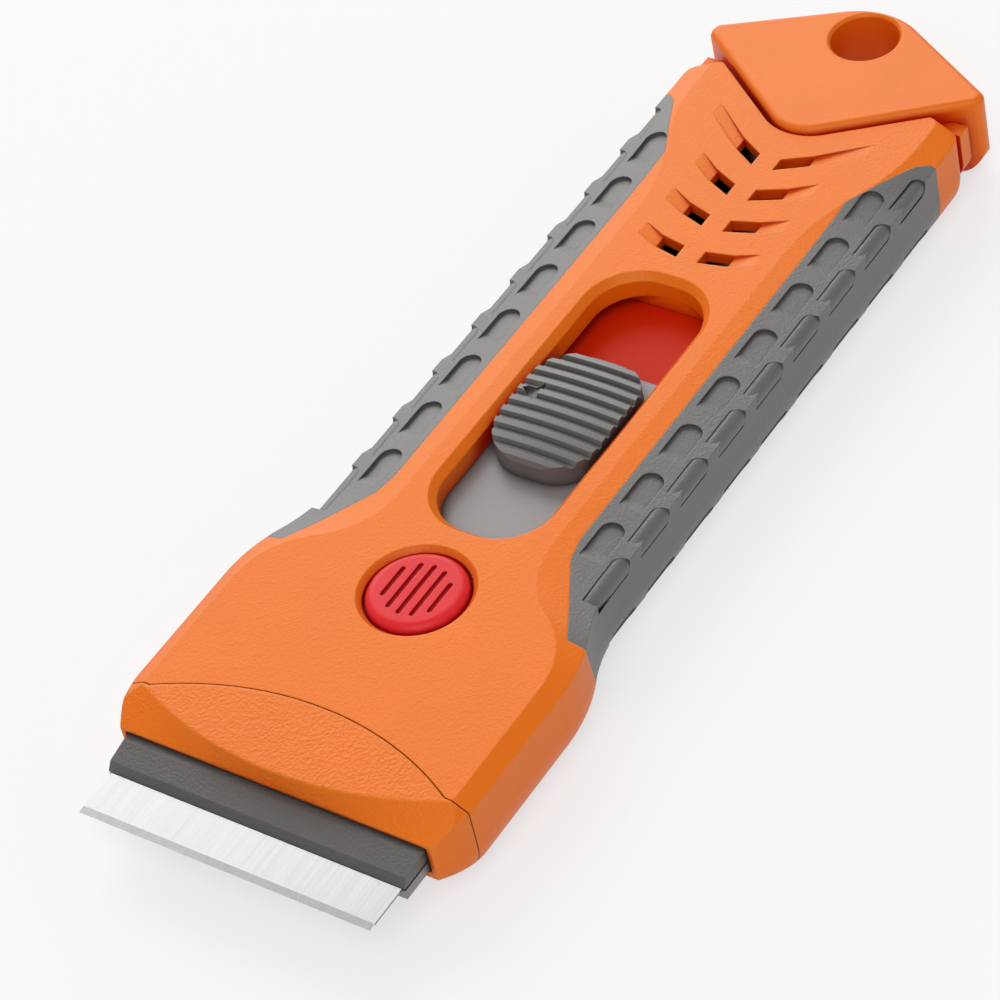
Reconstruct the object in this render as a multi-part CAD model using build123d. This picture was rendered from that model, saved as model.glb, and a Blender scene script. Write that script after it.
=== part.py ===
from build123d import *
from math import asin, atan, degrees, sqrt
import os

# Ceramic hob scraper with a sliding blade, a red release button and a drawer
# for spare blades in the tail. All sizes are in millimetres.
# X runs along the tool towards the blade, Y across it, Z up. The origin is
# the middle of the tool's length, on the surface that it rests on.

# Blade: a common single edged hob scraper blade
blade_length = 39.0            # across the tool
blade_width = 19.0             # back to cutting edge
blade_thickness = 0.3
blade_grind = 0.9              # ground flat behind the cutting edge
blade_hole_radius = 1.8
blade_hole_spacing = 20.0
blade_hole_back = 4.5          # back of the blade to the holes
blade_reach = 10.4             # cutting edge ahead of the nose when working
blade_exposed = 6.1            # cutting edge ahead of the jaws
spare_blade_count = 5

# Gaps and shared small sizes
running_gap = 0.3              # between a sliding piece and its guide
seat_gap = 0.1                 # between pieces that locate each other
seam_gap = 0.15                # the line that shows between two housings
fit_gap = 0.05                 # round screws and pegs
overrun = 5.0                  # how far every cutter passes the surface it cuts

# Housing
body_height = 11.5
edge_drop = 1.15               # fall of the top bevel from the flat top to the side edge
shell_wall = 1.6
grip_depth = 1.0               # depth of the soft grip in the housing
handle_half_width = 19.0
tail_half_width = 19.1
handle_flat_half_width = 10.4  # half of the flat part of the handle's top
tail_flat_half_width = 16.0
nose_bevel_width = 2.0         # width of the top bevel beside the nose
front_taper = 2.0              # how much each side of the nose draws in at the front
front_taper_length = 7.0
nose_behind_button = 5.8       # waist starts this far ahead of the button axis
waist_length = 16.8
flare_length = 24.0            # the handle widens over this length near the tail
tail_straight = 3.0
corner_radius = 2.4
under_round_width = 3.6        # rounding of the lower edge
under_round_height = 5.0
under_level_shares = (0, 0.1, 0.3, 0.6, 1)
chin_rise = 4.0                # the underside rises to the front of the nose
chin_length = 12.3

# Nose cover
cover_side_length = 5.2        # nose front to the parting line at the sides
cover_bulge = 5.2              # how far the parting arc bulges back in the middle
scoop_depth = 2.3              # height of the scooped front face
scoop_middle = 0.4             # its length on the centre line
scoop_side = 5.0               # its length at the side bevels
mouth_top_depth = 2.6          # flat top down to the top of the blade mouth
cover_solid = 3.8              # solid front part of the chin
tongue_length = 5.0            # the cover reaches this far back under the roof
tongue_half_width = 14.0

# Slide window and knob
window_behind_button = 9.6     # button axis to the window
window_half_width = 7.4
window_corner_radius = 6.4
window_chamfer = 0.9
window_rim_depth = 3.3         # flat top to the bottom of the rim round the window
window_rim_wall = 1.5
knob_length = 18.4
knob_side_gap = 0.4
knob_corner_radius = 5.6
knob_rib_count = 10
knob_rib_depth = 0.55
knob_slope_share = 0.2         # part of each rib's length taken by one of its slopes
knob_crest_share = 0.42        # part taken by its flat crest
knob_crown = 0.5               # height of the middle rib above the flat top
knob_end_fall = 1.0            # fall of the ribs from the middle to each end
knob_cross_radius = 70.0       # crown of the ribs across the knob
pointer_length = 3.1
pointer_width = 2.3
pointer_shift = 0.7            # knob's middle back to the pointer
pointer_depth = 0.5            # flat top down to the pointer's flat
front_play = 5.8               # window beyond the knob when slid right forward
rear_play = 2.4
edge_cover = 1.1               # cutting edge inside the nose when slid back
slide_out = 6.0                # travel from working to blade change

# Blade carriage and jaws
plate_depth = 3.4              # flat top to the top of the carriage plate
plate_thickness = 1.5
plate_half_width = 9.2
plate_tail = 0.8               # plate beyond the rear of the knob
blade_depth = 4.7              # flat top to the top of the blade
lower_jaw_thickness = 1.3
jaw_end_lip = 0.4              # the jaws pass each end of the blade by this much
jaw_plate_length = 2.8         # full plate between the jaw's root and the lap
jaw_top_depth = 3.0            # flat top to the top of the upper jaw
jaw_flat_length = 0.9          # flat top of the upper jaw ahead of the nose
jaw_slope_length = 2.7
jaw_slope_drop = 0.6
jaw_root_gap = 1.1             # solid plate between the button slot and the jaws
jaw_lap_length = 3.4           # the upper jaw laps this far onto the carriage
jaw_lap_depth = 0.9            # step in the carriage for the lap
jaw_rear_step = 2.2            # the rear of the upper jaw stays level with the plate
peg_radius = 1.5
peg_height = 0.9               # pegs above the blade

# Release button and lock spring
button_bore_radius = 6.35
button_bore_flare = 0.65       # the bore widens by this much at the top
button_gap = 0.25
button_rim = 1.2               # rounding of the button's rim
button_proud = 0.1
button_flange_width = 0.9
button_flange_thickness = 0.5
button_travel = 1.1
button_groove_width = 0.6
button_groove_depth = 0.4
button_groove_pitch = 1.6
button_groove_count = 5
button_pattern_radius = 4.0
stem_radius = 1.5
stem_slot_gap = 0.4
spring_thickness = 0.4
spring_drop = 1.0              # carriage plate down to the top of the spring
spring_half_width = 6.5
spring_free_length = 9.5
spring_foot_length = 5.5
spring_tip = 2.6
tooth_bite = 0.8               # how far a tooth enters the carriage plate
tooth_length = 1.6
tooth_width = 2.4
tooth_offset = 5.0
notch_gap = 0.2

# Vents, from the tail forward: how much each leans, and where its ramp ends
vent_pitch = 5.95
vent_width = 2.1
vent_inner = 1.45
vent_outer = 5.0
vent_ramp_depth = 0.5
vent_setback = 13.45           # housing rear to the rear of the first vent
vent_lean_shares = (0.58, 0.45, 0.31, 0.20)
vent_ramp_shares = (0.77, 0.67, 0.50, 0.44)
vent_ramp_ends = (10.9, 8.2, 8.2, 8.0)

# Soft grips and their pads
grip_inner = 12.7              # centre line to the inner edge of the grip
grip_behind_waist = 6.5        # start of the waist to the grip's front end
grip_front_half_width = 19.4   # where its slanted front end starts
grip_slant_length = 10.6
grip_slant_half_width = 13.3
grip_ease_length = 3.0
grip_front_lean = 1.5
grip_tail_gap = 6.9            # housing rear to the grip's rear end
grip_tail_half_width = 18.4
grip_tail_ease = 1.3
grip_tail_slant_width = 17.1
grip_tail_slant = 9.1
grip_bottom = 0.6              # lower edge of the grip above the underside
pad_pitch = 8.5
pad_count = 8
pad_lead = 17.6                # grip's front end to the round end of the first top pad
pad_length = 6.0
pad_width = 3.0
pad_middle = 15.2              # centre line to the middle of the top pads
pad_depth = 0.45
pad_ramp_length = 1.6          # the pad's floor rises over this length at its front end
edge_pad_shift = 3.9           # the edge pads sit this far ahead of the top pads
edge_pad_length = 6.4
edge_pad_width = 2.4
edge_rib_radius = 1.3          # the floor of an edge pad is a rounded rib
edge_groove_depth = 0.75       # deepest place beside the rib
edge_pad_angle = 42.0          # the edge pads face this far above level
under_pad_angle = -42.0
under_pad_height = 2.3
under_pad_inset = 0.9

# Tail: bottom cover, drawer tray and cap
cover_plate = 1.0              # outer layer of the bottom cover
cover_spigot = 0.9             # inner layer that drops into the opening
cover_inset = 4.0
cover_step = 1.0
deck_half_width = 9.0
deck_thickness = 1.0
deck_wall = 1.0
guide_wall = 1.2
guide_height = 3.6
partition_wall = 1.2
tray_wall = 1.1
tray_height = 4.6
tray_blade_gap = 0.15
neck_length = 9.0
neck_height = 7.4
neck_side_wall = 2.0           # housing wall beside the neck
neck_core_wall = 1.4
collar_half_width = 18.5       # the neck is this wide between housing and cap
collar_under_round = 3.0
cap_gap = 2.2                  # neck that shows between housing and cap
cap_proud = 0.6                # cap above the flat top
cap_bottom = 1.1
cap_half_width = 19.2
cap_side_length = 1.7          # side of the cap before its corners are rounded
cap_lap = 2.4                  # tray tongue inside the cap
cap_tongue_half_width = 14.4
cap_corner_share = 0.85        # corner radius as a share of that side
cap_under_round = 3.5          # rounding of the cap's lower side edges
cap_edge_round = 0.9
cap_end_half_width = 4.8
cap_end_bulge = 1.2
hole_radius = 4.35
hole_wall = 1.15               # between the blade pocket and the hanging hole
hole_rim = 0.35
tail_rim = 1.0                 # between the hanging hole and the end of the tail
v_slope_share = 0.72           # the rear edge of the top falls back this much per mm
v_half_width = 14.6            # where it meets the rear of the housing
v_housing_radius = 7.2
v_cap_radius = 5.5
v_gap = 0.85

# Screws
screw_radius = 1.1
screw_head_radius = 2.0
screw_head_height = 1.0
screw_length = 7.0
recess_width = 0.5
recess_depth = 0.6
recess_share = 0.6             # cross recess across the head
boss_radius = 2.0
boss_gap = 0.6
front_boss_offset = 13.5
rear_boss_offset = 11.6
knob_screw_radius = 0.9
knob_screw_head_radius = 1.7
knob_screw_head_height = 0.8
knob_screw_length = 3.0
knob_screw_spacing = 8.0
pan_head_height = 0.6
pan_screw_length = 3.2

# Worked out: stations along the tool, chained from the nose to the tail
slide_in = blade_reach + edge_cover
slot_half_width = stem_radius + stem_slot_gap
jaw_setback = blade_width - blade_reach + jaw_lap_length + jaw_plate_length
button_setback = jaw_setback + jaw_root_gap + slot_half_width + slide_in
nose_length = button_setback - nose_behind_button
grip_front_setback = nose_length + grip_behind_waist
pad_setback = grip_front_setback + pad_lead
window_setback = button_setback + window_behind_button
window_length = knob_length + slide_out + slide_in + front_play + rear_play + 2 * window_chamfer
pocket_length = blade_length + 2 * tray_blade_gap
handle_length = window_setback + window_length - window_chamfer + partition_wall + running_gap
tail_length = tray_wall + pocket_length + hole_wall + 2 * hole_radius + tail_rim
overall_length = blade_reach + handle_length + tail_length
nose_x = overall_length / 2 - blade_reach
edge_x = nose_x + blade_reach
join_x = nose_x - cover_side_length
cover_front_x = join_x - cover_bulge - tongue_length
button_x = nose_x - button_setback
window_front_x = nose_x - window_setback
window_rear_x = window_front_x - window_length
window_middle_x = (window_front_x + window_rear_x) / 2
partition_x = window_rear_x + window_chamfer
tray_front_x = partition_x - partition_wall - running_gap
pocket_front_x = tray_front_x - tray_wall
pocket_rear_x = pocket_front_x - pocket_length
hole_x = pocket_rear_x - hole_wall - hole_radius
tail_x = hole_x - hole_radius - tail_rim
cap_front_x = pocket_rear_x + cap_lap
housing_rear_x = cap_front_x + cap_gap
neck_front_x = pocket_rear_x + neck_length
cover_rear_x = neck_front_x + tail_straight
knob_x = window_front_x - window_chamfer - front_play - slide_out - knob_length / 2
blade_back_x = edge_x - blade_width
peg_x = blade_back_x + blade_hole_back
jaw_front_x = edge_x - blade_exposed
jaw_step_x = blade_back_x - jaw_lap_length
jaw_root_x = jaw_step_x - jaw_plate_length
plate_rear_x = knob_x - knob_length / 2 - plate_tail
front_boss_x = jaw_root_x - slide_in - boss_radius - boss_gap
rear_boss_x = partition_x + boss_radius + boss_gap
spring_root_x = button_x - spring_free_length
spring_end_x = spring_root_x - spring_foot_length
spring_screw_x = (spring_root_x + spring_end_x) / 2

# Worked out: widths
side_thickness = shell_wall + grip_depth
jaw_half_width = blade_length / 2 + jaw_end_lip
mouth_half_width = jaw_half_width + running_gap
nose_half_width = mouth_half_width + side_thickness
knob_half_width = window_half_width - knob_side_gap
tray_half_width = blade_width / 2 + tray_blade_gap + tray_wall
pocket_half_width = tray_half_width - tray_wall
socket_half_width = tail_half_width - neck_side_wall
neck_half_width = socket_half_width - running_gap

# Worked out: heights
roof_under = body_height - shell_wall
edge_height = body_height - edge_drop
plate_top = body_height - plate_depth
plate_bottom = plate_top - plate_thickness
lap_height = plate_top - jaw_lap_depth
blade_top = body_height - blade_depth
blade_bottom = blade_top - blade_thickness
peg_top = blade_top + peg_height
lower_jaw_bottom = blade_bottom - lower_jaw_thickness
mouth_bottom = lower_jaw_bottom - running_gap
mouth_top = body_height - mouth_top_depth
jaw_top = body_height - jaw_top_depth
floor_top = cover_plate + cover_spigot
deck_top = plate_bottom - seat_gap
spring_top = plate_bottom - spring_drop
spring_bottom = spring_top - spring_thickness
button_top = body_height + button_proud
flange_top = roof_under - fit_gap
flange_bottom = flange_top - button_flange_thickness
tray_bottom = floor_top + running_gap
tray_floor = tray_bottom + tray_wall
tray_top = tray_bottom + tray_height
neck_top = tray_bottom + neck_height
cap_top = body_height + cap_proud
cap_under = neck_top + seat_gap


def block(x0, x1, y0, y1, z0, z1):
    """A box between two corners."""
    size = Box(abs(x1 - x0), abs(y1 - y0), abs(z1 - z0))
    return Pos((x0 + x1) / 2, (y0 + y1) / 2, (z0 + z1) / 2) * size


def bar(x0, x1, half_width, z0, z1):
    """A box centred on the tool's middle plane."""
    return block(x0, x1, -half_width, half_width, z0, z1)


def post(x, y, radius, z0, z1):
    """An upright cylinder."""
    return Pos(x, y, (z0 + z1) / 2) * Cylinder(radius, abs(z1 - z0))


def upright(face, z0, z1):
    """A plan face made into a prism between two heights."""
    return extrude(Pos(0, 0, z0) * face, z1 - z0)


def across(points, half_width):
    """A side view polygon (x, z) made into a prism across the tool."""
    face = Plane.XZ * make_face(Polyline(*points, close=True))
    return extrude(face, half_width, both=True)


def mirrored(shape):
    """The same shape on the other side of the tool."""
    return mirror(shape, about=Plane.XZ)


def round_bar(x0, x1, half_width, z0, z1, radius):
    """Bar with its two lower long edges rounded."""
    solid = bar(x0, x1, half_width, z0, z1)
    return fillet(solid.edges().filter_by(Axis.X).group_by(Axis.Z)[0], radius)


def s_curve(start, end):
    """Two equal arcs that leave the start and reach the end along X."""
    middle = ((start[0] + end[0]) / 2, (start[1] + end[1]) / 2)
    first = TangentArc(start, middle, tangent=(-1, 0))
    second = TangentArc(end, middle, tangent=(1, 0))
    return [first, second]


def outline(nose, handle, tail, corner, shift):
    """The housing in plan: half widths of nose, handle and tail."""
    taper_x = nose_x - front_taper_length
    waist_x = nose_x - nose_length + shift
    handle_x = nose_x - nose_length - waist_length - shift
    bend_x = housing_rear_x + corner + tail_straight
    flare_x = bend_x + flare_length
    front = nose - front_taper
    side = [
        TangentArc((taper_x, nose), (nose_x, front), tangent=(1, 0)),
        Line((taper_x, nose), (waist_x, nose)),
        *s_curve((waist_x, nose), (handle_x, handle)),
        Line((handle_x, handle), (flare_x, handle)),
        *s_curve((flare_x, handle), (bend_x, tail)),
        Line((bend_x, tail), (housing_rear_x + corner, tail)),
        TangentArc((housing_rear_x + corner, tail), (housing_rear_x, tail - corner),
                   tangent=(-1, 0)),
    ]
    front_line = Line((nose_x, -front), (nose_x, front))
    rear_line = Line((housing_rear_x, tail - corner), (housing_rear_x, corner - tail))
    other = [mirror(edge, about=Plane.XZ).edge() for edge in side]
    return make_face([front_line, *side, rear_line, *other])


def side_outline(inset):
    """The outline at the side edge, moved in by inset."""
    widths = (nose_half_width - inset, handle_half_width - inset, tail_half_width - inset)
    return outline(*widths, corner_radius, 0)


def flat_outline(inset):
    """The outline of the flat top, moved in by inset."""
    nose = nose_half_width - nose_bevel_width - inset
    handle = handle_flat_half_width - inset
    tail = tail_flat_half_width - inset
    return outline(nose, handle, tail, corner_radius / 2, nose_bevel_width / 2)


def housing_form(inset, drop, floor):
    """The closed outer form of the housing, or a smaller copy inside it."""
    edge_z = edge_height - drop
    sections = []
    for share in under_level_shares:
        draw_in = under_round_width * (1 - sqrt(1 - (1 - share) ** 2))
        sections.append(Pos(0, 0, share * under_round_height) * side_outline(inset + draw_in))
    form = loft(sections) + upright(side_outline(inset), under_round_height, edge_z)
    high = Pos(0, 0, body_height - drop) * flat_outline(inset)
    form += loft([Pos(0, 0, edge_z) * side_outline(inset), high], ruled=True)
    slope = chin_rise / chin_length
    start_x = nose_x - chin_length - overrun
    end_x = nose_x + overrun
    chin = [(start_x, floor - slope * overrun), (end_x, floor + slope * (end_x - start_x - overrun)),
            (end_x, -overrun), (start_x, -overrun)]
    form -= across(chin, nose_half_width + overrun)
    if floor:
        form -= bar(tail_x, end_x, nose_half_width, -overrun, floor)
    return form


def nose_zone(gap):
    """Everything ahead of the curved parting line, moved forward by gap."""
    wide = nose_half_width + overrun
    arc_half = nose_half_width - nose_bevel_width - nose_bevel_width / 2
    side_x = join_x + gap
    front_x = nose_x + overrun
    edges = [
        Line((front_x, wide), (side_x, wide)),
        Line((side_x, wide), (side_x, arc_half)),
        ThreePointArc((side_x, arc_half), (side_x - cover_bulge, 0), (side_x, -arc_half)),
        Line((side_x, -arc_half), (side_x, -wide)),
        Line((side_x, -wide), (front_x, -wide)),
        Line((front_x, -wide), (front_x, wide)),
    ]
    return upright(make_face(edges), -overrun, body_height + overrun)


def scoop():
    """The scooped face between the top and the lip of the blade mouth."""
    wide = nose_half_width + overrun
    rise = scoop_side - scoop_middle
    half = nose_half_width - nose_bevel_width
    radius = (half ** 2 + rise ** 2) / (2 * rise)
    apex_x = nose_x - scoop_middle
    end_x = apex_x - radius + sqrt(radius ** 2 - wide ** 2)
    front_x = nose_x + overrun

    def section(z, back):
        rim = [Line(back @ 1, (front_x, -wide)), Line((front_x, -wide), (front_x, wide)),
               Line((front_x, wide), back @ 0)]
        return Pos(0, 0, z) * make_face([back, *rim])

    top = section(body_height, ThreePointArc((end_x, wide), (apex_x, 0), (end_x, -wide)))
    lip = section(body_height - scoop_depth, Line((nose_x, wide), (nose_x, -wide)))
    return loft([lip, top], ruled=True) + upright(top, 0, overrun)


def rear_v(shift, radius):
    """Everything behind the V shaped rear edge of the top, in plan."""
    wide = tail_half_width + overrun
    apex_x = housing_rear_x + v_slope_share * v_half_width - shift
    wing_x = apex_x - v_slope_share * wide
    far_x = tail_x - overrun
    points = [(apex_x, 0), (wing_x, wide), (far_x, wide), (far_x, -wide), (wing_x, -wide)]
    face = make_face(Polyline(*points, close=True))
    return fillet(face.vertices().sort_by(Axis.X)[-1], radius)


def window_plan(outset):
    """The slide window in plan, made larger by outset."""
    length = window_length - 2 * window_chamfer + 2 * outset
    width = 2 * (window_half_width + outset)
    return Pos(window_middle_x, 0) * RectangleRounded(length, width, window_corner_radius + outset)


def vent(index):
    """Cutter for one +Y vent slot with its ramp, counted from the tail."""
    x = housing_rear_x + vent_setback + vent_width + index * vent_pitch
    outer_x = x - vent_lean_shares[index] * (vent_outer - vent_inner)
    end = vent_ramp_ends[index]
    end_x = outer_x - vent_ramp_shares[index] * (end - vent_outer)
    slot = Polyline((x, vent_inner), (x - vent_width, vent_inner),
                    (outer_x - vent_width, vent_outer), (outer_x, vent_outer), close=True)
    ramp = Polyline((outer_x, vent_outer), (outer_x - vent_width, vent_outer),
                    (end_x - vent_width, end), (end_x, end), close=True)
    low = body_height - vent_ramp_depth
    high = body_height + overrun
    side = Polyline((vent_outer, low), (end, body_height), (end, high), (vent_outer, high),
                    close=True)
    wedge = extrude(Plane.YZ * make_face(side), overall_length, both=True)
    hole = upright(make_face(slot), roof_under - overrun, high)
    return hole + (upright(make_face(ramp), low, high) & wedge)


def grip_layer(outer):
    """The layer on the +Y side that the grip fills, leaning at its front end."""
    tail_end_x = housing_rear_x + grip_tail_gap
    slant_x = tail_end_x + grip_tail_ease
    front_x = nose_x - grip_front_setback
    wide = nose_half_width + overrun

    def level(z, lean):
        points = [
            (front_x - lean, wide),
            (front_x - lean, grip_front_half_width),
            (front_x - grip_slant_length, grip_slant_half_width),
            (front_x - grip_slant_length - grip_ease_length, grip_inner),
            (slant_x + grip_tail_slant, grip_inner),
            (slant_x, grip_tail_slant_width),
            (tail_end_x, grip_tail_half_width),
            (tail_end_x, wide),
        ]
        return Pos(0, 0, z) * make_face(Polyline(*points, close=True))

    rise = body_height - grip_bottom
    high = level(body_height + overrun, -grip_front_lean * overrun / rise)
    zone = loft([level(grip_bottom, grip_front_lean), high], ruled=True)
    return (outer & zone) - housing_form(grip_depth, grip_depth, 0)


def pad(outer, apex_x, y, z, angle, length, width, depth):
    """Cutter for one sunk pad with a round rear end, running out at the front."""
    shape = Pos(width / 2, 0) * Circle(width / 2)
    shape += Pos(width / 2 + length / 2, 0) * Rectangle(length, width)
    prism = extrude(shape, overrun / 2, both=True)
    facing = Pos(apex_x, y, z) * Rot(X=angle - 90)
    front = facing * Pos(length, 0, 0)
    ramp = degrees(asin(pad_depth / pad_ramp_length))
    sunk = facing * Pos(0, 0, -depth) * facing.inverse() * outer
    tilted = front * Rot(Y=-ramp) * front.inverse() * outer
    cutter = facing * prism - sunk - tilted
    if depth > pad_depth:
        rib = Pos(length / 2, 0, -pad_depth - edge_rib_radius) * Rot(Y=90)
        cutter -= facing * rib * Cylinder(edge_rib_radius, 2 * length)
    return cutter


def soft_grip(outer, layer):
    """The +Y grip with its rows of pads."""
    slope = edge_drop / (handle_half_width - handle_flat_half_width)
    top = (pad_middle, body_height - slope * (pad_middle - handle_flat_half_width),
           90 - degrees(atan(slope)), pad_length, pad_width, pad_depth)
    ribbed = (edge_pad_length, edge_pad_width, edge_groove_depth)
    edge = (handle_half_width, edge_height, edge_pad_angle, *ribbed)
    under = (handle_half_width - under_pad_inset, under_pad_height, under_pad_angle, *ribbed)
    first_x = nose_x - pad_setback
    cuts = [pad(outer, first_x - i * pad_pitch, *top) for i in range(pad_count)]
    for i in range(pad_count + 1):
        x = first_x + edge_pad_shift - i * pad_pitch
        cuts += [pad(outer, x, *edge), pad(outer, x, *under)]
    return layer - cuts


def countersunk(radius, head_radius, head_height, length):
    """A countersunk screw, head down, its face on the ground."""
    head = Pos(0, 0, head_height / 2) * Cone(head_radius, radius, head_height)
    body = head + post(0, 0, radius, head_height, length)
    slot = Box(2 * head_radius * recess_share, recess_width, 2 * recess_depth)
    return body - slot - Rot(Z=90) * slot


def screw_hole(radius, head_radius, head_height, length):
    """The hole for such a screw."""
    sink = Pos(0, 0, head_height / 2) * Cone(head_radius, radius, head_height)
    return sink + post(0, 0, radius, 0, length) + post(0, 0, head_radius, -overrun, 0)


def shell_screw_places():
    """Axes of the four screws that hold the bottom cover."""
    pairs = [(front_boss_x, front_boss_offset), (rear_boss_x, rear_boss_offset)]
    return [Pos(x, side * y) for x, y in pairs for side in (1, -1)]


def knob_screw_places():
    """Axes of the two screws that hold the knob to the carriage."""
    shifts = (knob_screw_spacing / 2, -knob_screw_spacing / 2)
    return [Pos(knob_x + shift, 0, plate_bottom) for shift in shifts]


def cover_solid_form(gap):
    """The stepped bottom cover, made larger by gap for its opening."""
    zone = bar(cover_rear_x - gap, cover_front_x + gap, nose_half_width, -overrun, floor_top)
    plate = upright(side_outline(cover_inset - gap), -gap, cover_plate) & zone
    step = cover_step - gap
    inner = bar(cover_rear_x + step, cover_front_x - step, nose_half_width, -overrun, floor_top)
    spigot = upright(side_outline(cover_inset + cover_step - gap), 0, floor_top) & inner
    return plate + spigot


def top_shell(outer, layer):
    """The upper housing with the slide window, button bore and vents."""
    high = body_height + overrun
    cavity = housing_form(side_thickness, shell_wall, shell_wall)
    cavity &= bar(neck_front_x + running_gap, nose_x + overrun, nose_half_width, 0, high)
    merge_z = roof_under + fit_gap
    wall = bar(partition_x - partition_wall, partition_x, handle_half_width,
               floor_top + seat_gap, high)
    shell = outer - cavity + (wall & cavity)
    shell += upright(window_plan(window_rim_wall), body_height - window_rim_depth, merge_z)
    for place in shell_screw_places():
        shell += place * post(0, 0, boss_radius, floor_top + fit_gap, merge_z)
        shell -= place * post(0, 0, screw_radius + fit_gap, -overrun, screw_length + fit_gap)
    shell -= upright(window_plan(0), deck_top, high)
    shell -= loft([Pos(0, 0, body_height - window_chamfer) * window_plan(0),
                   Pos(0, 0, body_height) * window_plan(window_chamfer)], ruled=True)
    shell -= post(button_x, 0, button_bore_radius, deck_top, high)
    flare = Cone(button_bore_radius, button_bore_radius + button_bore_flare, button_bore_flare)
    shell -= Pos(button_x, 0, body_height - button_bore_flare / 2) * flare
    for index in range(len(vent_ramp_ends)):
        cut = vent(index)
        shell -= [cut, mirrored(cut)]
    shell -= nose_zone(0)
    shell -= bar(housing_rear_x - overrun, neck_front_x + running_gap, socket_half_width,
                 floor_top, roof_under)
    shell -= upright(rear_v(0, v_housing_radius), neck_top, high)
    shell -= [layer, mirrored(layer)]
    return shell - cover_solid_form(seam_gap)


def bottom_cover():
    """The screwed cover with the deck that the carriage slides on."""
    cover = cover_solid_form(0)
    rear_x = partition_x + seat_gap
    front_x = spring_end_x - seat_gap
    cover += bar(rear_x, front_x, deck_half_width, deck_top - deck_thickness, deck_top)
    wall = block(rear_x, front_x, deck_half_width - deck_wall, deck_half_width, 0, deck_top)
    cover += bar(spring_end_x, spring_root_x, spring_half_width, 0, spring_bottom)
    cover -= post(spring_screw_x, 0, screw_radius + fit_gap,
                  spring_bottom - pan_screw_length - fit_gap, spring_bottom)
    guide_y = tray_half_width + running_gap
    guide = block(cover_rear_x + cover_step, tray_front_x, guide_y, guide_y + guide_wall,
                  0, floor_top + guide_height)
    cover += [wall, mirrored(wall), guide, mirrored(guide)]
    hole = screw_hole(screw_radius + fit_gap, screw_head_radius + fit_gap, screw_head_height,
                      screw_length)
    return cover - [place * hole for place in shell_screw_places()]


def nose_cover(outer):
    """The front cap of the housing with the blade mouth."""
    back_x = join_x - cover_bulge - tongue_length
    solid_x = nose_x - cover_solid
    body = outer & nose_zone(seam_gap)
    body -= bar(back_x, nose_x + overrun, mouth_half_width, mouth_bottom, mouth_top)
    hollow = housing_form(side_thickness, shell_wall, shell_wall)
    body -= hollow & bar(tail_x, solid_x, nose_half_width, 0, mouth_top)
    body -= scoop()
    return body + bar(back_x, solid_x, tongue_half_width, mouth_top, roof_under - seat_gap)


def carriage():
    """The sliding plate with the lower jaw."""
    body = bar(plate_rear_x, jaw_root_x, plate_half_width, plate_bottom, plate_top)
    body += bar(jaw_root_x, jaw_step_x, jaw_half_width, lower_jaw_bottom, plate_top)
    body += bar(jaw_step_x, blade_back_x - seat_gap, jaw_half_width, lower_jaw_bottom, lap_height)
    body += bar(jaw_step_x, jaw_front_x, jaw_half_width, lower_jaw_bottom, blade_bottom)
    for y in (blade_hole_spacing / 2, -blade_hole_spacing / 2):
        body += post(peg_x, y, peg_radius, lower_jaw_bottom, peg_top)
    slot = SlotOverall(slide_in + slide_out + 2 * slot_half_width, 2 * slot_half_width)
    slot = Pos(button_x + (slide_in - slide_out) / 2, 0) * slot
    body -= upright(slot, plate_bottom - overrun, plate_top + overrun)
    notch = Box(tooth_length + 2 * notch_gap, tooth_width + 2 * notch_gap,
                2 * (plate_thickness + overrun))
    for shift in (-slide_out, 0, slide_in):
        for y in (tooth_offset, -tooth_offset):
            body -= Pos(button_x + shift, y, plate_top) * notch
    hole = screw_hole(knob_screw_radius + fit_gap, knob_screw_head_radius + fit_gap,
                      knob_screw_head_height, knob_screw_length)
    return body - [place * hole for place in knob_screw_places()]


def clamp():
    """The upper jaw that presses the blade onto the lower one."""
    rear_x = jaw_step_x + seat_gap
    flat_x = nose_x + jaw_flat_length
    step_x = jaw_step_x + jaw_rear_step
    points = [
        (rear_x, lap_height),
        (rear_x, plate_top),
        (step_x, plate_top),
        (step_x + jaw_top - plate_top, jaw_top),
        (flat_x, jaw_top),
        (flat_x + jaw_slope_length, jaw_top - jaw_slope_drop),
        (jaw_front_x, blade_top + seat_gap),
        (jaw_front_x, blade_top),
        (blade_back_x - seat_gap, blade_top),
        (blade_back_x - seat_gap, lap_height),
    ]
    body = across(points, jaw_half_width)
    for y in (blade_hole_spacing / 2, -blade_hole_spacing / 2):
        body -= post(peg_x, y, peg_radius + fit_gap, 0, peg_top + seat_gap)
    return body


def blade_blank(x, z):
    """A blade lying across the tool: back edge at x, underside at z."""
    front = x + blade_width
    top = z + blade_thickness
    points = [(x, z), (x, top), (front - blade_grind, top), (front, (z + top) / 2),
              (front - blade_grind, z)]
    body = across(points, blade_length / 2)
    for y in (blade_hole_spacing / 2, -blade_hole_spacing / 2):
        body -= post(x + blade_hole_back, y, blade_hole_radius, z - overrun, z + overrun)
    return body


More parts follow.
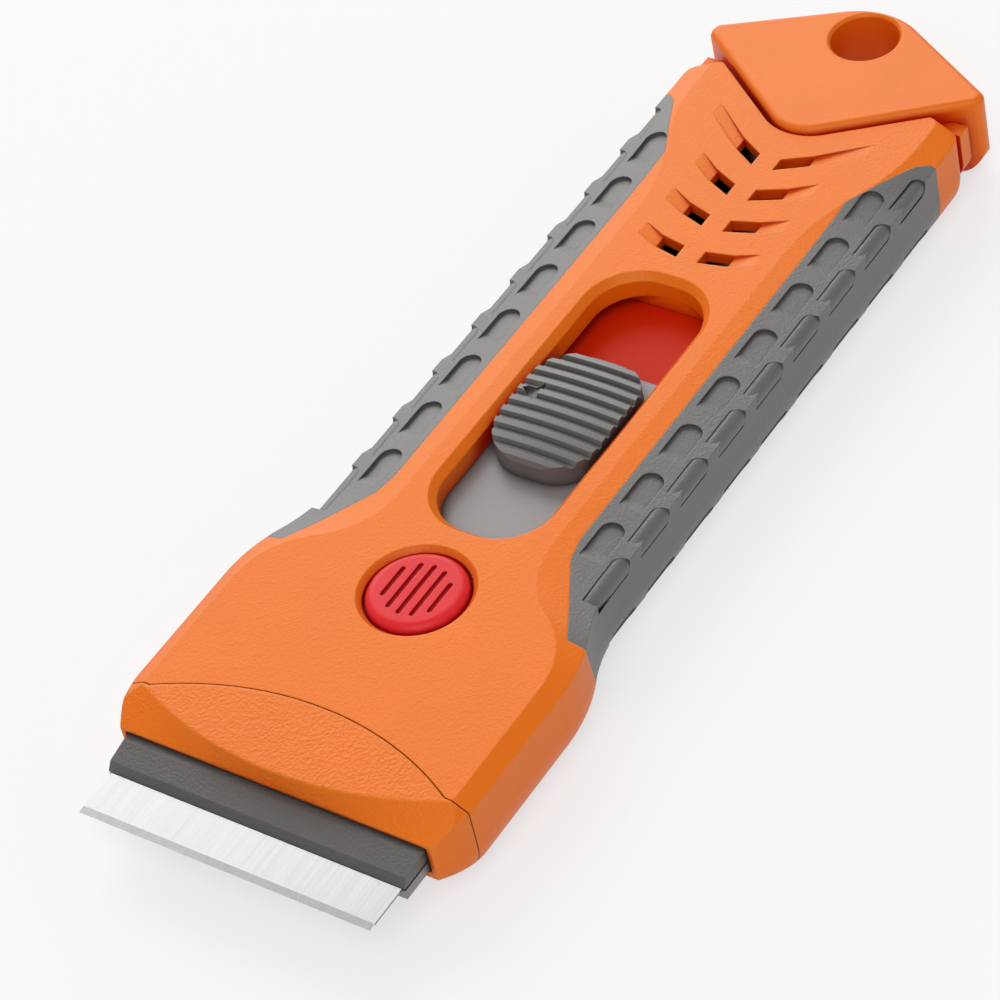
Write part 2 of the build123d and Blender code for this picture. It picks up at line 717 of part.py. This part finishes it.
def slider_knob():
    """The ribbed thumb knob, crowned both ways, with a flat pointer."""
    pitch = knob_length / knob_rib_count
    half = knob_length / 2
    top = body_height + knob_crown

    def rib_point(shift, depth):
        return (knob_x + shift, top - knob_end_fall * (shift / half) ** 2 - depth)

    points = [(knob_x + half, plate_top)]
    for i in range(knob_rib_count):
        front = half - i * pitch
        crest_end = knob_slope_share + knob_crest_share
        points.append(rib_point(front, knob_rib_depth))
        points.append(rib_point(front - knob_slope_share * pitch, 0))
        points.append(rib_point(front - crest_end * pitch, 0))
        points.append(rib_point(front - (crest_end + knob_slope_share) * pitch, knob_rib_depth))
    points.append(rib_point(-half, knob_rib_depth))
    centre_z = top - knob_cross_radius
    points += [(knob_x - half, centre_z), (knob_x + half, centre_z)]
    face = Plane.XZ * make_face(Polyline(*points, close=True))
    dome = revolve(face, Axis((knob_x, 0, centre_z), (1, 0, 0)), 360)
    plan = RectangleRounded(knob_length, 2 * knob_half_width, knob_corner_radius)
    body = upright(Pos(knob_x, 0) * plan, plate_top, top + overrun) & dome
    tip = (knob_x - pointer_shift, -knob_half_width + knob_rib_depth)
    base_y = tip[1] + pointer_width
    arrow = Polyline(tip, (tip[0] - pointer_length / 2, base_y),
                     (tip[0] + pointer_length / 2, base_y), close=True)
    body -= upright(make_face(arrow), body_height - pointer_depth, top + overrun)
    hole = post(0, 0, knob_screw_radius + fit_gap, 0, knob_screw_length + fit_gap)
    return body - [place * hole for place in knob_screw_places()]


def button():
    """The round release button with its flange and stem."""
    cap = post(button_x, 0, button_bore_radius - button_gap, flange_bottom, button_top)
    cap = fillet(cap.edges().sort_by(Axis.Z)[-1], button_rim)
    grooves = Sketch()
    for i in range(button_groove_count):
        y = (i - (button_groove_count - 1) / 2) * button_groove_pitch
        half = sqrt(button_pattern_radius ** 2 - y ** 2)
        grooves += Pos(button_x, y) * SlotOverall(2 * half, button_groove_width)
    cap -= upright(grooves, button_top - button_groove_depth, button_top + overrun)
    flange_radius = button_bore_radius + button_flange_width
    cap += post(button_x, 0, flange_radius, flange_bottom, flange_top)
    return cap + post(button_x, 0, stem_radius, spring_top, flange_top)


def lock_spring():
    """The leaf spring whose teeth hold the carriage and lift the button."""
    leaf = bar(spring_end_x, button_x + spring_tip, spring_half_width, spring_bottom, spring_top)
    tooth = Box(tooth_length, tooth_width, spring_drop + tooth_bite)
    for y in (tooth_offset, -tooth_offset):
        leaf += Pos(button_x, y, spring_top + (spring_drop + tooth_bite) / 2) * tooth
    return leaf - post(spring_screw_x, 0, screw_radius + fit_gap, 0, plate_bottom)


def spring_screw():
    """The pan head screw at the root of the lock spring."""
    head_top = spring_top + pan_head_height
    body = post(spring_screw_x, 0, screw_head_radius, spring_top, head_top)
    body += post(spring_screw_x, 0, screw_radius, spring_bottom - pan_screw_length, spring_top)
    slot = Box(2 * screw_head_radius * recess_share, recess_width, pan_head_height)
    return body - Pos(spring_screw_x, 0, head_top) * slot


def blade_tray():
    """The drawer for spare blades, with the wide neck that closes the tail."""
    tray = bar(pocket_rear_x, tray_front_x, tray_half_width, tray_bottom, tray_top)
    neck = bar(cap_front_x + fit_gap, neck_front_x, neck_half_width, tray_bottom, neck_top)
    tongue = bar(pocket_rear_x, neck_front_x, cap_tongue_half_width, tray_bottom, neck_top)
    core = block(cap_front_x + neck_core_wall, neck_front_x + overrun,
                 tray_half_width + seat_gap, neck_half_width - neck_core_wall,
                 tray_bottom + neck_core_wall, neck_top - neck_core_wall)
    collar = round_bar(cap_front_x + fit_gap, housing_rear_x - seam_gap, collar_half_width,
                       tray_bottom, neck_top, collar_under_round)
    pocket = bar(pocket_rear_x - overrun, pocket_front_x, pocket_half_width, tray_floor,
                 neck_top + overrun)
    return tray + neck + collar + tongue - core - mirrored(core) - pocket


def cap_plan():
    """The tail cap in plan: V front, chevron rear and round end."""
    end_x = tail_x + cap_end_bulge
    far_x = housing_rear_x + v_slope_share * v_half_width
    rear_x = far_x - v_gap - v_slope_share * cap_half_width - cap_side_length
    end = ThreePointArc((end_x, cap_end_half_width), (tail_x, 0), (end_x, -cap_end_half_width))
    sides = [Polyline((far_x, 0), (far_x, y), (rear_x, y), (end_x, end_y)).edges()
             for y, end_y in ((cap_half_width, cap_end_half_width),
                              (-cap_half_width, -cap_end_half_width))]
    plan = make_face([*sides[0], end, *sides[1]]) & rear_v(v_gap, v_cap_radius)
    tips = [v for v in plan.vertices() if abs(v.Y) > cap_half_width - fit_gap]
    return fillet(tips, cap_corner_share * cap_side_length)


def tail_cap():
    """The cap at the end of the drawer, with the hanging hole."""
    solid = upright(cap_plan(), cap_bottom, cap_top)
    levels = solid.edges().group_by(Axis.Z)
    solid = fillet(levels[0] + levels[-1], cap_edge_round)
    solid &= round_bar(tail_x - overrun, nose_x, cap_half_width, cap_bottom, cap_top + overrun,
                       cap_under_round)
    solid -= bar(cap_front_x, nose_x, tail_half_width, -overrun, cap_under)
    solid -= bar(pocket_rear_x - fit_gap, cap_front_x + overrun,
                 cap_tongue_half_width + seat_gap, tray_bottom - seat_gap, cap_under)
    solid -= post(hole_x, 0, hole_radius, -overrun, cap_top + overrun)
    wide = hole_radius + hole_rim
    upper = Pos(hole_x, 0, cap_top - hole_rim / 2) * Cone(hole_radius, wide, hole_rim)
    lower = Pos(hole_x, 0, cap_bottom + hole_rim / 2) * Cone(wide, hole_radius, hole_rim)
    return solid - upper - lower


def spare_blade(number):
    """One blade of the stack in the drawer, counted from the bottom."""
    lying = Pos(-blade_width / 2, 0) * blade_blank(0, 0)
    middle_x = (pocket_front_x + pocket_rear_x) / 2
    return Pos(middle_x, 0, tray_floor + number * blade_thickness) * Rot(Z=90) * lying


os.makedirs("parts", exist_ok=True)
outer_form = housing_form(0, 0, 0)
side_layer = grip_layer(outer_form)
grip = soft_grip(outer_form, side_layer)
shell_screw = countersunk(screw_radius, screw_head_radius, screw_head_height, screw_length)
knob_screw = countersunk(knob_screw_radius, knob_screw_head_radius, knob_screw_head_height,
                         knob_screw_length)
pieces = {
    "top_shell": top_shell(outer_form, side_layer),
    "bottom_cover": bottom_cover(),
    "nose_cover": nose_cover(outer_form),
    "grip_left": grip,
    "grip_right": mirrored(grip),
    "slider_knob": slider_knob(),
    "blade_carriage": carriage(),
    "blade_clamp": clamp(),
    "blade": blade_blank(blade_back_x, blade_bottom),
    "release_button": button(),
    "lock_spring": lock_spring(),
    "spring_screw": spring_screw(),
    "blade_tray": blade_tray(),
    "tail_cap": tail_cap(),
    "shell_screws": Compound([place * shell_screw for place in shell_screw_places()]),
    "knob_screws": Compound([place * knob_screw for place in knob_screw_places()]),
}
for number in range(spare_blade_count):
    pieces[f"spare_blade_{number + 1}"] = spare_blade(number)

for name, shape in pieces.items():
    shape.label = name
    export_step(shape, f"parts/{name}.step")
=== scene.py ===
from math import cos, radians, sin

import bpy
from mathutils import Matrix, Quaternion, Vector


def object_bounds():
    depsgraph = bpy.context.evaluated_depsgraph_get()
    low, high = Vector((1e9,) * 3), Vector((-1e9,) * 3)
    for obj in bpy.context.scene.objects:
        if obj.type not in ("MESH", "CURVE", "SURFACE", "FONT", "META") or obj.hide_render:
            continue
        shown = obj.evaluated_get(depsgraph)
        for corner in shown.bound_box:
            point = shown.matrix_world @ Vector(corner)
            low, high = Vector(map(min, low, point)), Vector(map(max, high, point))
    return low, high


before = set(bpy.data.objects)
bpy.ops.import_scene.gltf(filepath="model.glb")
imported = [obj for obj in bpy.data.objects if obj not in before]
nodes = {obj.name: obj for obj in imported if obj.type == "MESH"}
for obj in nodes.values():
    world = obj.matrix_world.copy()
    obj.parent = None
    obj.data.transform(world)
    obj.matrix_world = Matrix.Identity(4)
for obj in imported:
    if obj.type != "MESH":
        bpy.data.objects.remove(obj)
cad_low, cad_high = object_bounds()

MM = 0.001

# Camera: the photograph's view of the scraper
VIEW_AZIMUTH = radians(132.58)
VIEW_ELEVATION = radians(43.88)
VIEW_ROLL = radians(-13.80)
VIEW_TARGET = Vector((18.2, 1.08, 11.5)) * MM
VIEW_DISTANCE = 459.0 * MM
VIEW_LENS = 146.5

BLADE_GRIND = 0.9 * MM          # ground flat behind the cutting edge
NORMAL_SAMPLES = 6              # samples of the rounded edges and of the hollows
GRAIN_MIX = 0.35                # share of the fine noise in the mould's texture
GRAIN_NOISE = 2.2               # noise cells to one rounded cell
HIGHLIGHT_FROM, HIGHLIGHT_TO = 0.99, 0.90     # turn of the normal where the painted edge highlight begins and where it is full
HIGHLIGHT_SHARE = 0.65
UNEVEN_SCALE = 90.0             # patches of faint colour variation, per metre
UNEVEN_LOW, UNEVEN_HIGH = 0.95, 1.05
HOLLOW_FROM, HOLLOW_TO = 0.40, 0.90     # open share where the painted hollow shade is full and where it is gone
GRIND_LINES = (60.0, 3000.0, 60.0)      # fine lines along the tool, per metre
GRIND_DEPTH = 0.0008 * MM
FLOOR_SIZE = 6.0
FLOOR_GLOW = 0.65               # share of plain white in the floor that the camera sees
WORLD_LIGHT = 0.42

# Colours
ORANGE = (0.88, 0.172, 0.003, 1)
# painted edge highlight of the orange parts
ORANGE_EDGE_HIGHLIGHT = (0.97, 0.30, 0.035, 1)
# painted shade in the holes, gaps and grooves of the orange parts
ORANGE_HOLLOW_SHADE = (0.60, 0.012, 0.001, 1)
# painted shade: a darker, redder copy of the orange for the bottom cover's floor in the recess
ORANGE_SHADE_COPY = (0.62, 0.022, 0.001, 1)
ORANGE_SHINE = (1.0, 0.92, 0.60, 1)
GRIP_GREY = (0.135, 0.130, 0.125, 1)
# painted edge highlight of the grey parts
GREY_EDGE_HIGHLIGHT = (0.21, 0.205, 0.20, 1)
# painted shade in the hollows of the grey parts
GREY_HOLLOW_SHADE = (0.045, 0.041, 0.038, 1)
KNOB_GREY = (0.150, 0.142, 0.136, 1)
PLATE_GREY = (0.26, 0.255, 0.25, 1)
JAW_GREY = (0.118, 0.112, 0.107, 1)
BUTTON_RED = (0.80, 0.022, 0.028, 1)
# painted edge highlight of the button
BUTTON_EDGE_HIGHLIGHT = (0.90, 0.08, 0.08, 1)
# painted shade in the hollows of the button
BUTTON_HOLLOW_SHADE = (0.40, 0.004, 0.006, 1)
STEEL = (0.30, 0.305, 0.31, 1)
# painted highlight: the pale colour of the ground strip behind the cutting edge
GROUND_STRIP_HIGHLIGHT = (0.90, 0.90, 0.90, 1)
OILED_STEEL = (0.16, 0.155, 0.15, 1)
ZINC = (0.50, 0.51, 0.52, 1)
FLOOR_WHITE = (0.90, 0.90, 0.90, 1)
WHITE = (1, 1, 1, 1)


def shader(name):
    """A new material with its nodes and its Principled shader."""
    material = bpy.data.materials.new(name)
    material.use_nodes = True
    tree = material.node_tree
    return material, tree, tree.nodes["Principled BSDF"]


def add(tree, kind, **values):
    """One shader node, with its settings and the values of its inputs."""
    node = tree.nodes.new(kind)
    for key, value in values.items():
        if key in node.inputs:
            node.inputs[key].default_value = value
        else:
            setattr(node, key, value)
    return node


def soft_edge(tree, width):
    """Normals that round off the sharp edges by width."""
    return add(tree, "ShaderNodeBevel", samples=NORMAL_SAMPLES, Radius=width)


def mould_grain(tree, surface, edge, grain, depth):
    """The pebbled texture of the mould: rounded cells under a finer noise."""
    place = add(tree, "ShaderNodeTexCoord")
    cells = add(tree, "ShaderNodeTexVoronoi", feature="SMOOTH_F1", Scale=1 / grain, Smoothness=0.7)
    waves = add(tree, "ShaderNodeTexNoise", Scale=GRAIN_NOISE / grain, Detail=3.0, Roughness=0.6)
    mix = add(tree, "ShaderNodeMix", data_type="FLOAT", Factor=GRAIN_MIX)
    bump = add(tree, "ShaderNodeBump", Strength=1.0, Distance=depth)
    tree.links.new(place.outputs["Object"], cells.inputs["Vector"])
    tree.links.new(place.outputs["Object"], waves.inputs["Vector"])
    tree.links.new(cells.outputs["Distance"], mix.inputs["A"])
    tree.links.new(waves.outputs["Fac"], mix.inputs["B"])
    tree.links.new(mix.outputs["Result"], bump.inputs["Height"])
    tree.links.new(edge.outputs["Normal"], bump.inputs["Normal"])
    tree.links.new(bump.outputs["Normal"], surface.inputs["Normal"])
    return place


def uneven_tone_and_edge_highlight(tree, edge, place, colour, edge_highlight_colour):
    """The colour, faintly uneven over the surface, with a painted highlight that lightens the
    edges.
    """
    face = add(tree, "ShaderNodeNewGeometry")
    turn = add(tree, "ShaderNodeVectorMath", operation="DOT_PRODUCT")
    # painted highlight: edges where the rounded normal turns away from the face are lightened
    edge_highlight_mask = add(tree, "ShaderNodeMapRange")
    edge_highlight_mask.inputs["From Min"].default_value = HIGHLIGHT_FROM
    edge_highlight_mask.inputs["From Max"].default_value = HIGHLIGHT_TO
    edge_highlight_mask.inputs["To Max"].default_value = HIGHLIGHT_SHARE
    flow = add(tree, "ShaderNodeTexNoise", Scale=UNEVEN_SCALE, Detail=2.0)
    uneven = add(tree, "ShaderNodeMapRange")
    uneven.inputs["To Min"].default_value = UNEVEN_LOW
    uneven.inputs["To Max"].default_value = UNEVEN_HIGH
    shade = add(tree, "ShaderNodeMix", data_type="RGBA", blend_type="MULTIPLY")
    shade.inputs[0].default_value = 1.0
    shade.inputs[6].default_value = colour
    mix = add(tree, "ShaderNodeMix", data_type="RGBA")
    mix.inputs[7].default_value = edge_highlight_colour
    tree.links.new(edge.outputs["Normal"], turn.inputs[0])
    tree.links.new(face.outputs["Normal"], turn.inputs[1])
    tree.links.new(turn.outputs["Value"], edge_highlight_mask.inputs["Value"])
    tree.links.new(place.outputs["Object"], flow.inputs["Vector"])
    tree.links.new(flow.outputs["Fac"], uneven.inputs["Value"])
    tree.links.new(uneven.outputs["Result"], shade.inputs[7])
    tree.links.new(edge_highlight_mask.outputs["Result"], mix.inputs[0])
    tree.links.new(shade.outputs[2], mix.inputs[6])
    return mix


def painted_hollow_shade(tree, surface, outside, hollow_shade_colour, reach):
    """Painted shade: a deeper colour painted into holes, gaps and grooves."""
    # painted shade: the less open a place is, the more the deep colour covers it
    hollow = add(tree, "ShaderNodeAmbientOcclusion", samples=NORMAL_SAMPLES, Distance=reach)
    share = add(tree, "ShaderNodeMapRange")
    share.inputs["From Min"].default_value = HOLLOW_FROM
    share.inputs["From Max"].default_value = HOLLOW_TO
    mix = add(tree, "ShaderNodeMix", data_type="RGBA")
    mix.inputs[6].default_value = hollow_shade_colour
    tree.links.new(hollow.outputs["AO"], share.inputs["Value"])
    tree.links.new(share.outputs["Result"], mix.inputs[0])
    tree.links.new(outside.outputs[2], mix.inputs[7])
    tree.links.new(mix.outputs[2], surface.inputs["Base Color"])


def moulded(name, colours, roughness, shine, grain, depth, edge_width=0.2, reach=3.0,
            tint=WHITE):
    """Moulded plastic or rubber with a fine grain. Lengths are in millimetres."""
    # own colour, painted edge highlight colour, painted shade colour for hollows
    colour, edge_highlight_colour, hollow_shade_colour = colours
    material, tree, surface = shader(name)
    surface.inputs["Roughness"].default_value = roughness
    surface.inputs["Specular IOR Level"].default_value = shine
    surface.inputs["Specular Tint"].default_value = tint
    edge = soft_edge(tree, edge_width * MM)
    place = mould_grain(tree, surface, edge, grain * MM, depth * MM)
    outside = uneven_tone_and_edge_highlight(tree, edge, place, colour, edge_highlight_colour)
    painted_hollow_shade(tree, surface, outside, hollow_shade_colour, reach * MM)
    return material


def painted_ground_strip_highlight(tree, surface, place, colour, ground_from):
    """Painted highlight: the strip that is ground flat behind the cutting edge is painted paler.
    """
    split = add(tree, "ShaderNodeSeparateXYZ")
    ahead = add(tree, "ShaderNodeMath", operation="GREATER_THAN")
    ahead.inputs[1].default_value = ground_from
    mix = add(tree, "ShaderNodeMix", data_type="RGBA")
    mix.inputs[6].default_value = colour
    mix.inputs[7].default_value = GROUND_STRIP_HIGHLIGHT
    tree.links.new(place.outputs["Object"], split.inputs["Vector"])
    tree.links.new(split.outputs["X"], ahead.inputs[0])
    tree.links.new(ahead.outputs["Value"], mix.inputs[0])
    tree.links.new(mix.outputs[2], surface.inputs["Base Color"])


def metal(name, colour, roughness, ground_from=None):
    """Bright metal with fine grinding marks along the tool."""
    material, tree, surface = shader(name)
    surface.inputs["Base Color"].default_value = colour
    surface.inputs["Metallic"].default_value = 1.0
    place = add(tree, "ShaderNodeTexCoord")
    stretch = add(tree, "ShaderNodeMapping", Scale=GRIND_LINES)
    lines = add(tree, "ShaderNodeTexNoise", Scale=1.0, Detail=2.0)
    spread = add(tree, "ShaderNodeMapRange")
    spread.inputs["To Min"].default_value = roughness * 0.75
    spread.inputs["To Max"].default_value = roughness * 1.3
    bump = add(tree, "ShaderNodeBump", Strength=1.0, Distance=GRIND_DEPTH)
    tree.links.new(place.outputs["Object"], stretch.inputs["Vector"])
    tree.links.new(stretch.outputs["Vector"], lines.inputs["Vector"])
    tree.links.new(lines.outputs["Fac"], spread.inputs["Value"])
    tree.links.new(spread.outputs["Result"], surface.inputs["Roughness"])
    tree.links.new(lines.outputs["Fac"], bump.inputs["Height"])
    tree.links.new(bump.outputs["Normal"], surface.inputs["Normal"])
    # painted highlight on the ground strip behind the cutting edge
    if ground_from is not None:
        painted_ground_strip_highlight(tree, surface, place, colour, ground_from)
    return material


ORANGES = (ORANGE, ORANGE_EDGE_HIGHLIGHT, ORANGE_HOLLOW_SHADE)
SHADE_COPY_ORANGES = (ORANGE_SHADE_COPY, ORANGE_SHADE_COPY, ORANGE_HOLLOW_SHADE)
orange = moulded("orange_moulding", ORANGES, 0.42, 0.42, 0.34, 0.05, 0.3, tint=ORANGE_SHINE)
orange_grained = moulded("orange_grained_moulding", ORANGES, 0.42, 0.42, 0.36, 0.12, 0.6,
                         tint=ORANGE_SHINE)
orange_smooth = moulded("orange_smooth_moulding", ORANGES, 0.40, 0.42, 0.40, 0.03, 0.3, 6.0,
                        tint=ORANGE_SHINE)
# painted shade: the bottom cover gets the darker copy of the orange
orange_shade_copy = moulded("orange_shade_copy_moulding", SHADE_COPY_ORANGES, 0.40, 0.10, 0.5, 0.03)
grip_rubber = moulded("grip_rubber", (GRIP_GREY, GREY_EDGE_HIGHLIGHT, GREY_HOLLOW_SHADE), 0.44, 0.75, 0.32, 0.05,
                      0.15, 1.0)
knob_plastic = moulded("knob_plastic", (KNOB_GREY, GREY_EDGE_HIGHLIGHT, GREY_HOLLOW_SHADE), 0.38, 0.6, 0.32, 0.02,
                       0.1, 1.4)
plate_plastic = moulded("slide_plate_plastic", (PLATE_GREY, PLATE_GREY, GREY_HOLLOW_SHADE), 0.36, 0.5,
                        0.45, 0.012, reach=1.5)
jaw_plastic = moulded("jaw_plastic", (JAW_GREY, GREY_EDGE_HIGHLIGHT, GREY_HOLLOW_SHADE), 0.42, 0.5, 0.34, 0.10,
                      reach=1.2)
button_plastic = moulded("button_plastic", (BUTTON_RED, BUTTON_EDGE_HIGHLIGHT, BUTTON_HOLLOW_SHADE), 0.34, 0.2,
                         0.40, 0.01, reach=1.0)
blade_steel = metal("blade_steel", STEEL, 0.20, ground_from=cad_high.x - BLADE_GRIND)
spare_steel = metal("oiled_spare_blade_steel", OILED_STEEL, 0.30)
spring_steel = metal("spring_steel", ZINC, 0.30)
screw_zinc = metal("zinc_plated_screws", ZINC, 0.28)

FINISHES = {
    "top_shell": orange, "nose_cover": orange_grained, "tail_cap": orange_smooth,
    "bottom_cover": orange_shade_copy, "blade_tray": orange_smooth,
    "grip_left": grip_rubber, "grip_right": grip_rubber,
    "slider_knob": knob_plastic, "blade_carriage": plate_plastic, "blade_clamp": jaw_plastic,
    "release_button": button_plastic, "blade": blade_steel, "lock_spring": spring_steel,
    "spring_screw": screw_zinc, "knob_screws": screw_zinc, "shell_screws": screw_zinc,
}
for name, node in nodes.items():
    node.data.materials.clear()
    node.data.materials.append(FINISHES.get(name, spare_steel))


def studio_floor():
    """A pale floor that stays white to the camera and keeps the soft shadow."""
    bpy.ops.object.select_all(action="DESELECT")
    bpy.ops.mesh.primitive_plane_add(size=FLOOR_SIZE, location=(0, 0, cad_low.z))
    floor = bpy.context.object
    floor.name = "floor"
    material, tree, surface = shader("pale floor")
    surface.inputs["Base Color"].default_value = FLOOR_WHITE
    surface.inputs["Roughness"].default_value = 0.9
    surface.inputs["Specular IOR Level"].default_value = 0.0
    glow = add(tree, "ShaderNodeEmission", Color=(1, 1, 1, 1), Strength=1.0)
    both = add(tree, "ShaderNodeMixShader")
    rays = add(tree, "ShaderNodeLightPath")
    share = add(tree, "ShaderNodeMath", operation="MAXIMUM")
    part = add(tree, "ShaderNodeMath", operation="MULTIPLY")
    part.inputs[1].default_value = FLOOR_GLOW
    tree.links.new(rays.outputs["Is Camera Ray"], share.inputs[0])
    tree.links.new(rays.outputs["Is Glossy Ray"], share.inputs[1])
    tree.links.new(share.outputs["Value"], part.inputs[0])
    tree.links.new(part.outputs["Value"], both.inputs["Fac"])
    tree.links.new(surface.outputs["BSDF"], both.inputs[1])
    tree.links.new(glow.outputs["Emission"], both.inputs[2])
    tree.links.new(both.outputs["Shader"], tree.nodes["Material Output"].inputs["Surface"])
    floor.data.materials.append(material)


def studio_world():
    """Even white surroundings."""
    world = bpy.data.worlds.new("studio")
    world.use_nodes = True
    background = world.node_tree.nodes["Background"]
    background.inputs["Color"].default_value = (1, 1, 1, 1)
    background.inputs["Strength"].default_value = WORLD_LIGHT
    bpy.context.scene.world = world


def softbox(name, azimuth, elevation, distance, size, watts):
    """A square softbox that faces the scraper. Azimuth 0 stands at -Y, 90 at +X."""
    around, up = radians(azimuth), radians(elevation)
    away = Vector((sin(around) * cos(up), -cos(around) * cos(up), sin(up)))
    bpy.ops.object.select_all(action="DESELECT")
    bpy.ops.object.light_add(type="AREA", location=away * distance)
    lamp = bpy.context.object
    lamp.name = name
    lamp.rotation_mode = "QUATERNION"
    lamp.rotation_quaternion = away.to_track_quat("Z", "Y")
    lamp.data.size = size
    lamp.data.energy = watts


def camera():
    """The camera at the photograph's viewing angle."""
    toward = Vector((-sin(VIEW_AZIMUTH) * cos(VIEW_ELEVATION),
                     cos(VIEW_AZIMUTH) * cos(VIEW_ELEVATION), -sin(VIEW_ELEVATION)))
    bpy.ops.object.select_all(action="DESELECT")
    bpy.ops.object.camera_add(location=VIEW_TARGET - toward * VIEW_DISTANCE)
    eye = bpy.context.object
    eye.rotation_mode = "QUATERNION"
    turn = toward.to_track_quat("-Z", "Y") @ Quaternion((0, 0, 1), VIEW_ROLL)
    eye.rotation_quaternion = turn
    eye.data.sensor_width = 36.0
    eye.data.lens = VIEW_LENS
    eye.data.clip_start = 0.01
    bpy.context.scene.camera = eye


studio_floor()
studio_world()
softbox("back_softbox", 316, 30, 1.4, 1.2, 13)
softbox("front_softbox", 118, 56, 1.4, 0.9, 7)
camera()

bpy.context.scene.view_settings.view_transform = "Standard"
